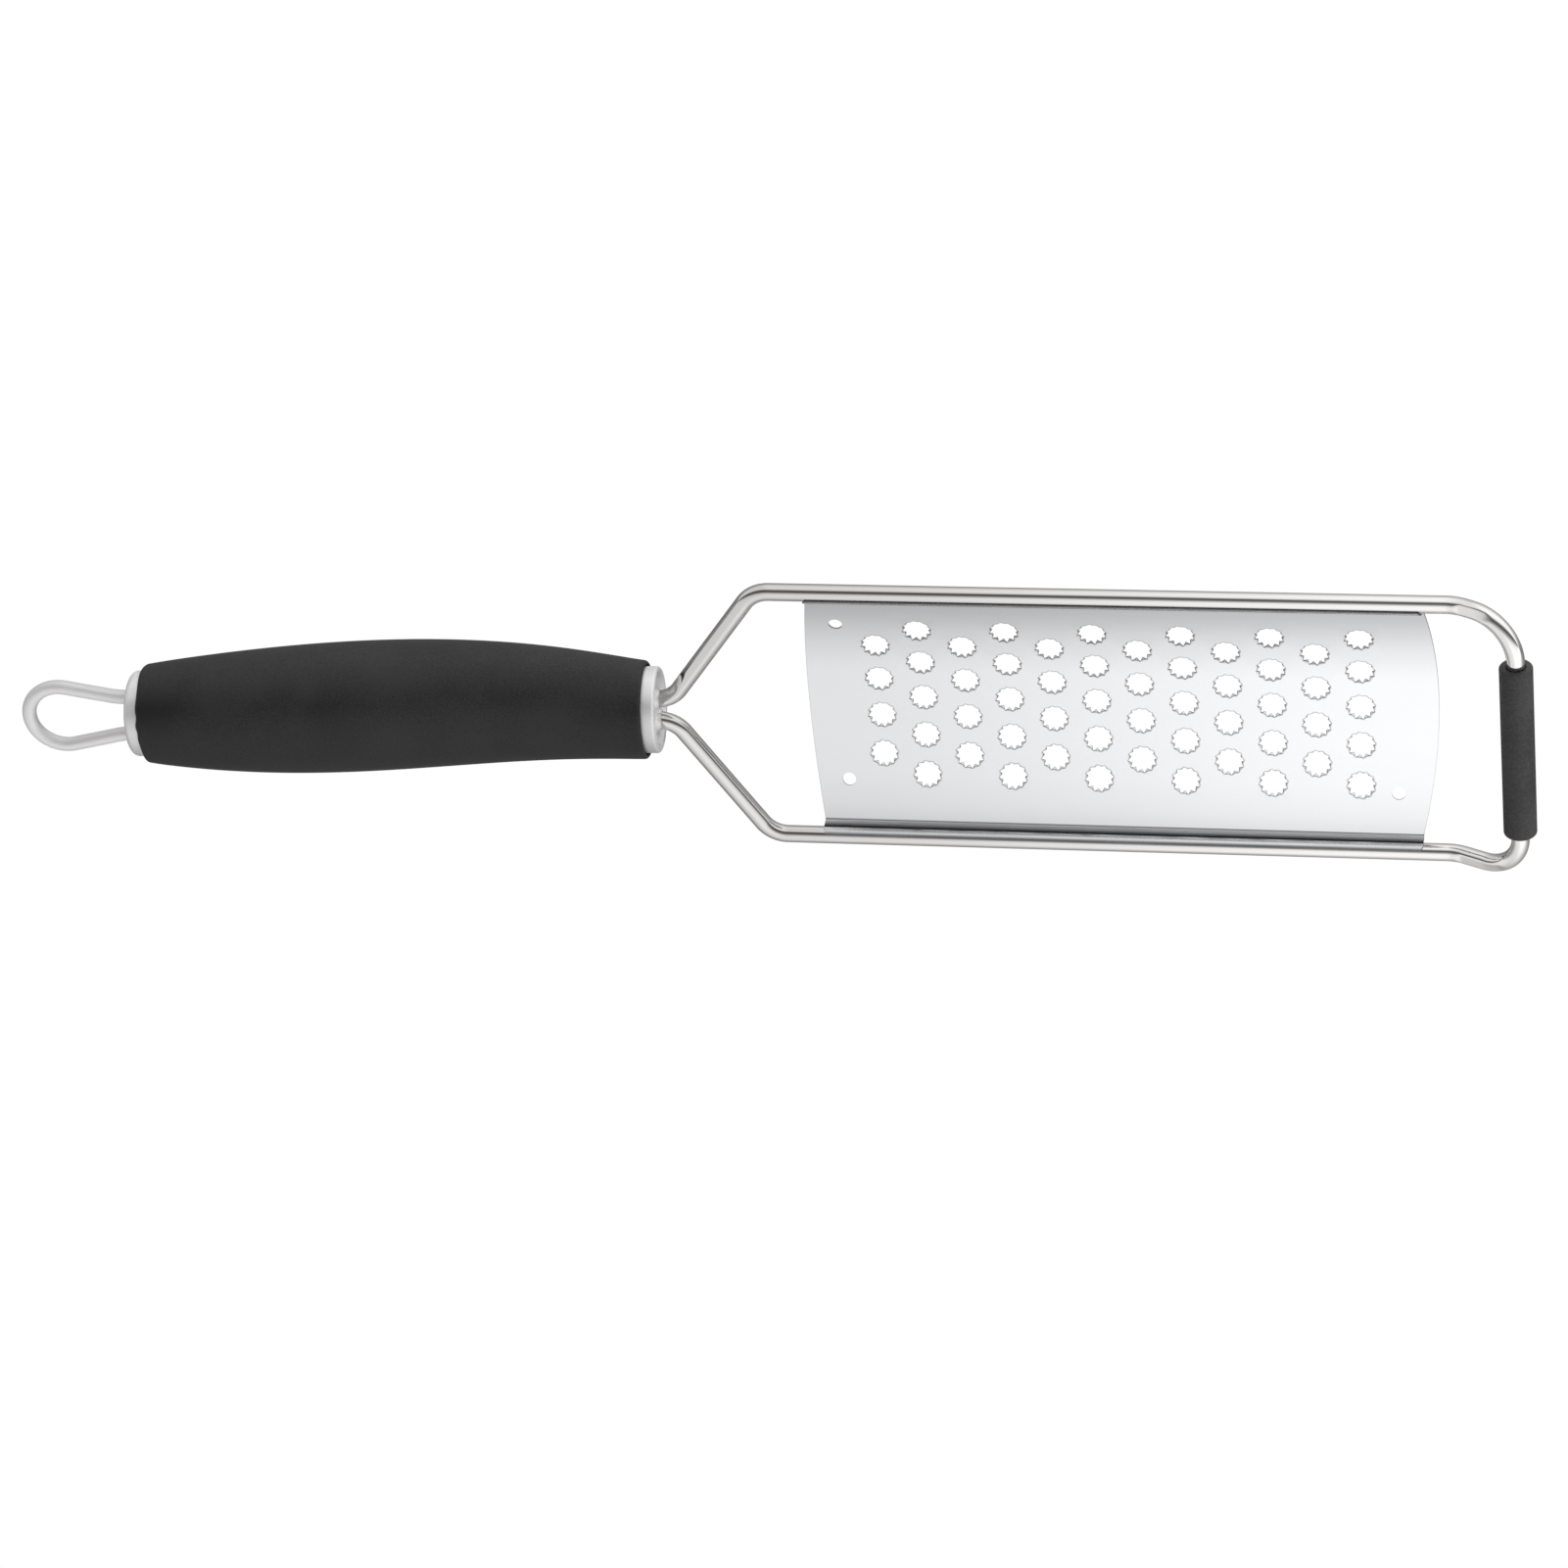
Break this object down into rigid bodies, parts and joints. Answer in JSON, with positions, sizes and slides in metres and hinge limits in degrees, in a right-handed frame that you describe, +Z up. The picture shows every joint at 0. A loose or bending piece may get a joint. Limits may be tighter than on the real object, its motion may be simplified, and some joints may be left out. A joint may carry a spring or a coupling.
{
  "type": "cheese grater",
  "caption": "Hand-held flat cheese grater: arched steel sheet of toothed star holes in a bent wire frame, black soft grip with a hanging loop, rubber sleeve on the foot bar.",
  "frame": {"origin": "under the middle of the whole grater, on the surface it lies on, with the working face up", "axes": "+X from the handle towards the foot bar, +Y across the blade, +Z up out of the working face"},
  "size_m": [0.3258, 0.0656, 0.0308],
  "materials": {
    "bright_wire": "polished, with dull pressed patches on the bends",
    "sheet_steel": "fine brushed",
    "foot_rubber": "matte",
    "soft_grip": "matte soft touch",
    "hidden_plastic": "moulded",
    "satin_metal": "satin",
    "loop_wire": "satin to polished"
  },
  "bodies": {
    "grater": {"frame_wire": "bright_wire", "grater_blade": "sheet_steel", "grip": "soft_grip", "handle_core": "hidden_plastic", "front_ferrule": "satin_metal", "rear_ferrule": "satin_metal", "hanging_loop": "loop_wire"},
    "foot_sleeve": {"foot_sleeve": "foot_rubber"}
  },
  "joints": [
    {"name": "foot_sleeve_turn", "type": "hinge", "parent": "grater", "child": "foot_sleeve", "pos_m": [0.15882, 0, 0.00349], "axis": [0.0275, 0.9996, -0.0007], "continuous": true}
  ]
}
